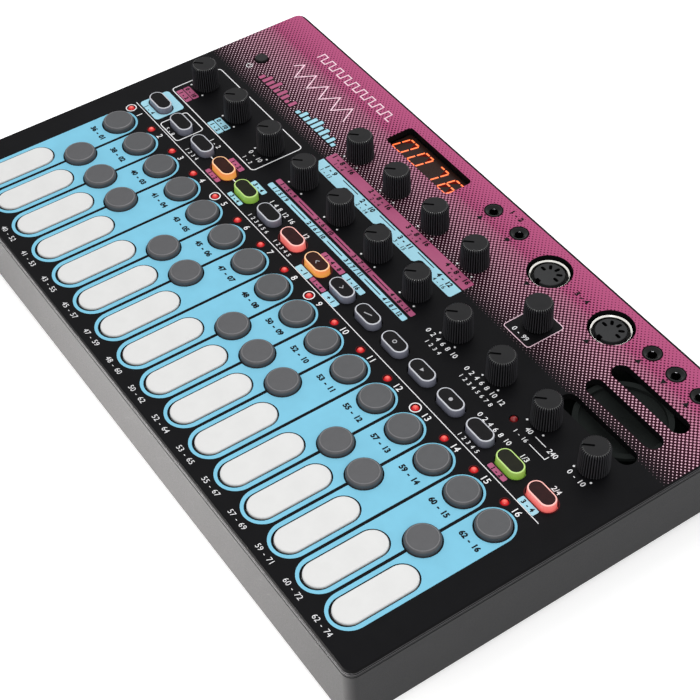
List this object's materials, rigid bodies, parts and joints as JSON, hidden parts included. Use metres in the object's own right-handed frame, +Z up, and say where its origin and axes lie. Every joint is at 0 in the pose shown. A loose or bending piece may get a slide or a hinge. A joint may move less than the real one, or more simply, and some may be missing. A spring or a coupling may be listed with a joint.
{
  "type": "digital synthesizer",
  "caption": "Low desktop synthesizer with a flat keyboard of long and round keys, step pads, lit buttons, fluted knobs, a lamp display and sockets along its rear edge.",
  "frame": {"origin": "middle of the footprint, on the surface that the feet stand on", "axes": "+X to the player's right along the keyboard, +Y to the rear, +Z up"},
  "size_m": [0.297, 0.176, 0.048],
  "materials": {
    "case": "fine textured dark grey",
    "panel": "matte black, printed",
    "board": "green solder mask",
    "black_plastic": "moulded black",
    "steel": "plain steel",
    "chrome": "bright plated",
    "lamp_red": "clear red",
    "display": "dark face, lit strokes",
    "speaker_black": "black",
    "rubber": "matte black",
    "pad_grey": "matte grey",
    "key_white": "satin white",
    "button_clear": "cloudy, lit rim",
    "knob_black": "fluted black"
  },
  "bodies": {
    "chassis": {"bottom_case": "case", "top_cover": "panel", "battery_contacts": "steel", "main_board": "board", "key_switches": "black_plastic", "potentiometers": "steel", "step_lamps": "lamp_red", "display_module": "display", "speaker": "speaker_black", "jack_sockets": "black_plastic", "midi_sockets": "chrome", "case_screws": "steel", "rubber_feet": "rubber"},
    "mixer_knob_1": {"mixer_knob_1": "knob_black"},
    "mixer_knob_2": {"mixer_knob_2": "knob_black"},
    "mixer_knob_3": {"mixer_knob_3": "knob_black"},
    "sound_knob_1": {"sound_knob_1": "knob_black"},
    "sound_knob_2": {"sound_knob_2": "knob_black"},
    "sound_knob_3": {"sound_knob_3": "knob_black"},
    "sound_knob_4": {"sound_knob_4": "knob_black"},
    "level_knob": {"level_knob": "knob_black"},
    "effect_knob": {"effect_knob": "knob_black"},
    "tempo_knob": {"tempo_knob": "knob_black"},
    "volume_knob": {"volume_knob": "knob_black"},
    "part_knob_1": {"part_knob_1": "knob_black"},
    "part_knob_2": {"part_knob_2": "knob_black"},
    "part_knob_3": {"part_knob_3": "knob_black"},
    "part_knob_4": {"part_knob_4": "knob_black"},
    "value_encoder": {"value_encoder": "knob_black"},
    "white_key_01": {"white_key_01": "key_white"},
    "white_key_02": {"white_key_02": "key_white"},
    "white_key_03": {"white_key_03": "key_white"},
    "white_key_04": {"white_key_04": "key_white"},
    "white_key_05": {"white_key_05": "key_white"},
    "white_key_06": {"white_key_06": "key_white"},
    "white_key_07": {"white_key_07": "key_white"},
    "white_key_08": {"white_key_08": "key_white"},
    "white_key_09": {"white_key_09": "key_white"},
    "white_key_10": {"white_key_10": "key_white"},
    "white_key_11": {"white_key_11": "key_white"},
    "white_key_12": {"white_key_12": "key_white"},
    "white_key_13": {"white_key_13": "key_white"},
    "white_key_14": {"white_key_14": "key_white"},
    "white_key_15": {"white_key_15": "key_white"},
    "white_key_16": {"white_key_16": "key_white"},
    "accidental_key_01": {"accidental_key_01": "pad_grey"},
    "accidental_key_02": {"accidental_key_02": "pad_grey"},
    "accidental_key_03": {"accidental_key_03": "pad_grey"},
    "accidental_key_04": {"accidental_key_04": "pad_grey"},
    "accidental_key_05": {"accidental_key_05": "pad_grey"},
    "accidental_key_06": {"accidental_key_06": "pad_grey"},
    "accidental_key_07": {"accidental_key_07": "pad_grey"},
    "accidental_key_08": {"accidental_key_08": "pad_grey"},
    "accidental_key_09": {"accidental_key_09": "pad_grey"},
    "accidental_key_10": {"accidental_key_10": "pad_grey"},
    "accidental_key_11": {"accidental_key_11": "pad_grey"},
    "step_pads": {"step_pads": "pad_grey"},
    "function_buttons": {"function_buttons": "button_clear"},
    "power_button": {"power_button": "black_plastic"},
    "battery_door": {"battery_door": "case"}
  },
  "joints": [
    {"name": "mixer_knob_1_turn", "type": "hinge", "parent": "chassis", "child": "mixer_knob_1", "pos_m": [-0.12825, 0.0266, 0.036], "axis": [0, 0, -1], "range_deg": [0, 274]},
    {"name": "mixer_knob_2_turn", "type": "hinge", "parent": "chassis", "child": "mixer_knob_2", "pos_m": [-0.1026, 0.0266, 0.036], "axis": [0, 0, -1], "range_deg": [0, 274]},
    {"name": "mixer_knob_3_turn", "type": "hinge", "parent": "chassis", "child": "mixer_knob_3", "pos_m": [-0.07695, 0.0266, 0.036], "axis": [0, 0, -1], "range_deg": [0, 274]},
    {"name": "sound_knob_1_turn", "type": "hinge", "parent": "chassis", "child": "sound_knob_1", "pos_m": [-0.0513, 0.0266, 0.036], "axis": [0, 0, -1], "range_deg": [0, 274]},
    {"name": "sound_knob_2_turn", "type": "hinge", "parent": "chassis", "child": "sound_knob_2", "pos_m": [-0.02565, 0.0266, 0.036], "axis": [0, 0, -1], "range_deg": [0, 274]},
    {"name": "sound_knob_3_turn", "type": "hinge", "parent": "chassis", "child": "sound_knob_3", "pos_m": [0, 0.0266, 0.036], "axis": [0, 0, -1], "range_deg": [0, 274]},
    {"name": "sound_knob_4_turn", "type": "hinge", "parent": "chassis", "child": "sound_knob_4", "pos_m": [0.02565, 0.0266, 0.036], "axis": [0, 0, -1], "range_deg": [0, 274]},
    {"name": "level_knob_turn", "type": "hinge", "parent": "chassis", "child": "level_knob", "pos_m": [0.0513, 0.0266, 0.036], "axis": [0, 0, -1], "range_deg": [0, 274]},
    {"name": "effect_knob_turn", "type": "hinge", "parent": "chassis", "child": "effect_knob", "pos_m": [0.07695, 0.0266, 0.036], "axis": [0, 0, -1], "range_deg": [0, 274]},
    {"name": "tempo_knob_turn", "type": "hinge", "parent": "chassis", "child": "tempo_knob", "pos_m": [0.1026, 0.0266, 0.036], "axis": [0, 0, -1], "range_deg": [0, 274]},
    {"name": "volume_knob_turn", "type": "hinge", "parent": "chassis", "child": "volume_knob", "pos_m": [0.12825, 0.0266, 0.036], "axis": [0, 0, -1], "range_deg": [0, 274]},
    {"name": "part_knob_1_turn", "type": "hinge", "parent": "chassis", "child": "part_knob_1", "pos_m": [-0.0513, 0.0535, 0.036], "axis": [0, 0, -1], "range_deg": [0, 274]},
    {"name": "part_knob_2_turn", "type": "hinge", "parent": "chassis", "child": "part_knob_2", "pos_m": [-0.02565, 0.0535, 0.036], "axis": [0, 0, -1], "range_deg": [0, 274]},
    {"name": "part_knob_3_turn", "type": "hinge", "parent": "chassis", "child": "part_knob_3", "pos_m": [0, 0.0535, 0.036], "axis": [0, 0, -1], "range_deg": [0, 274]},
    {"name": "part_knob_4_turn", "type": "hinge", "parent": "chassis", "child": "part_knob_4", "pos_m": [0.02565, 0.0535, 0.036], "axis": [0, 0, -1], "range_deg": [0, 274]},
    {"name": "value_encoder_turn", "type": "hinge", "parent": "chassis", "child": "value_encoder", "pos_m": [0.0641, 0.0535, 0.036], "axis": [0, 0, -1], "continuous": true},
    {"name": "white_key_01_press", "type": "slide", "parent": "chassis", "child": "white_key_01", "axis": [0, 0, -1], "range_m": [0, 0.001], "stiffness_N_per_m": 800, "springref_m": -0.0003},
    {"name": "white_key_02_press", "type": "slide", "parent": "chassis", "child": "white_key_02", "axis": [0, 0, -1], "range_m": [0, 0.001], "stiffness_N_per_m": 800, "springref_m": -0.0003},
    {"name": "white_key_03_press", "type": "slide", "parent": "chassis", "child": "white_key_03", "axis": [0, 0, -1], "range_m": [0, 0.001], "stiffness_N_per_m": 800, "springref_m": -0.0003},
    {"name": "white_key_04_press", "type": "slide", "parent": "chassis", "child": "white_key_04", "axis": [0, 0, -1], "range_m": [0, 0.001], "stiffness_N_per_m": 800, "springref_m": -0.0003},
    {"name": "white_key_05_press", "type": "slide", "parent": "chassis", "child": "white_key_05", "axis": [0, 0, -1], "range_m": [0, 0.001], "stiffness_N_per_m": 800, "springref_m": -0.0003},
    {"name": "white_key_06_press", "type": "slide", "parent": "chassis", "child": "white_key_06", "axis": [0, 0, -1], "range_m": [0, 0.001], "stiffness_N_per_m": 800, "springref_m": -0.0003},
    {"name": "white_key_07_press", "type": "slide", "parent": "chassis", "child": "white_key_07", "axis": [0, 0, -1], "range_m": [0, 0.001], "stiffness_N_per_m": 800, "springref_m": -0.0003},
    {"name": "white_key_08_press", "type": "slide", "parent": "chassis", "child": "white_key_08", "axis": [0, 0, -1], "range_m": [0, 0.001], "stiffness_N_per_m": 800, "springref_m": -0.0003},
    {"name": "white_key_09_press", "type": "slide", "parent": "chassis", "child": "white_key_09", "axis": [0, 0, -1], "range_m": [0, 0.001], "stiffness_N_per_m": 800, "springref_m": -0.0003},
    {"name": "white_key_10_press", "type": "slide", "parent": "chassis", "child": "white_key_10", "axis": [0, 0, -1], "range_m": [0, 0.001], "stiffness_N_per_m": 800, "springref_m": -0.0003},
    {"name": "white_key_11_press", "type": "slide", "parent": "chassis", "child": "white_key_11", "axis": [0, 0, -1], "range_m": [0, 0.001], "stiffness_N_per_m": 800, "springref_m": -0.0003},
    {"name": "white_key_12_press", "type": "slide", "parent": "chassis", "child": "white_key_12", "axis": [0, 0, -1], "range_m": [0, 0.001], "stiffness_N_per_m": 800, "springref_m": -0.0003},
    {"name": "white_key_13_press", "type": "slide", "parent": "chassis", "child": "white_key_13", "axis": [0, 0, -1], "range_m": [0, 0.001], "stiffness_N_per_m": 800, "springref_m": -0.0003},
    {"name": "white_key_14_press", "type": "slide", "parent": "chassis", "child": "white_key_14", "axis": [0, 0, -1], "range_m": [0, 0.001], "stiffness_N_per_m": 800, "springref_m": -0.0003},
    {"name": "white_key_15_press", "type": "slide", "parent": "chassis", "child": "white_key_15", "axis": [0, 0, -1], "range_m": [0, 0.001], "stiffness_N_per_m": 800, "springref_m": -0.0003},
    {"name": "white_key_16_press", "type": "slide", "parent": "chassis", "child": "white_key_16", "axis": [0, 0, -1], "range_m": [0, 0.001], "stiffness_N_per_m": 800, "springref_m": -0.0003},
    {"name": "accidental_key_01_press", "type": "slide", "parent": "chassis", "child": "accidental_key_01", "axis": [0, 0, -1], "range_m": [0, 0.001], "stiffness_N_per_m": 800, "springref_m": -0.0003},
    {"name": "accidental_key_02_press", "type": "slide", "parent": "chassis", "child": "accidental_key_02", "axis": [0, 0, -1], "range_m": [0, 0.001], "stiffness_N_per_m": 800, "springref_m": -0.0003},
    {"name": "accidental_key_03_press", "type": "slide", "parent": "chassis", "child": "accidental_key_03", "axis": [0, 0, -1], "range_m": [0, 0.001], "stiffness_N_per_m": 800, "springref_m": -0.0003},
    {"name": "accidental_key_04_press", "type": "slide", "parent": "chassis", "child": "accidental_key_04", "axis": [0, 0, -1], "range_m": [0, 0.001], "stiffness_N_per_m": 800, "springref_m": -0.0003},
    {"name": "accidental_key_05_press", "type": "slide", "parent": "chassis", "child": "accidental_key_05", "axis": [0, 0, -1], "range_m": [0, 0.001], "stiffness_N_per_m": 800, "springref_m": -0.0003},
    {"name": "accidental_key_06_press", "type": "slide", "parent": "chassis", "child": "accidental_key_06", "axis": [0, 0, -1], "range_m": [0, 0.001], "stiffness_N_per_m": 800, "springref_m": -0.0003},
    {"name": "accidental_key_07_press", "type": "slide", "parent": "chassis", "child": "accidental_key_07", "axis": [0, 0, -1], "range_m": [0, 0.001], "stiffness_N_per_m": 800, "springref_m": -0.0003},
    {"name": "accidental_key_08_press", "type": "slide", "parent": "chassis", "child": "accidental_key_08", "axis": [0, 0, -1], "range_m": [0, 0.001], "stiffness_N_per_m": 800, "springref_m": -0.0003},
    {"name": "accidental_key_09_press", "type": "slide", "parent": "chassis", "child": "accidental_key_09", "axis": [0, 0, -1], "range_m": [0, 0.001], "stiffness_N_per_m": 800, "springref_m": -0.0003},
    {"name": "accidental_key_10_press", "type": "slide", "parent": "chassis", "child": "accidental_key_10", "axis": [0, 0, -1], "range_m": [0, 0.001], "stiffness_N_per_m": 800, "springref_m": -0.0003},
    {"name": "accidental_key_11_press", "type": "slide", "parent": "chassis", "child": "accidental_key_11", "axis": [0, 0, -1], "range_m": [0, 0.001], "stiffness_N_per_m": 800, "springref_m": -0.0003},
    {"name": "step_pads_press", "type": "slide", "parent": "chassis", "child": "step_pads", "axis": [0, 0, -1], "range_m": [0, 0.001], "stiffness_N_per_m": 8000, "springref_m": -0.0003},
    {"name": "function_buttons_press", "type": "slide", "parent": "chassis", "child": "function_buttons", "axis": [0, 0, -1], "range_m": [0, 0.001], "stiffness_N_per_m": 8000, "springref_m": -0.0003},
    {"name": "power_button_press", "type": "slide", "parent": "chassis", "child": "power_button", "axis": [0, 0, -1], "range_m": [0, 0.001], "stiffness_N_per_m": 800, "springref_m": -0.0003},
    {"name": "battery_door_slide", "type": "slide", "parent": "chassis", "child": "battery_door", "axis": [0, 1, 0], "range_m": [0, 0.045]}
  ]
}
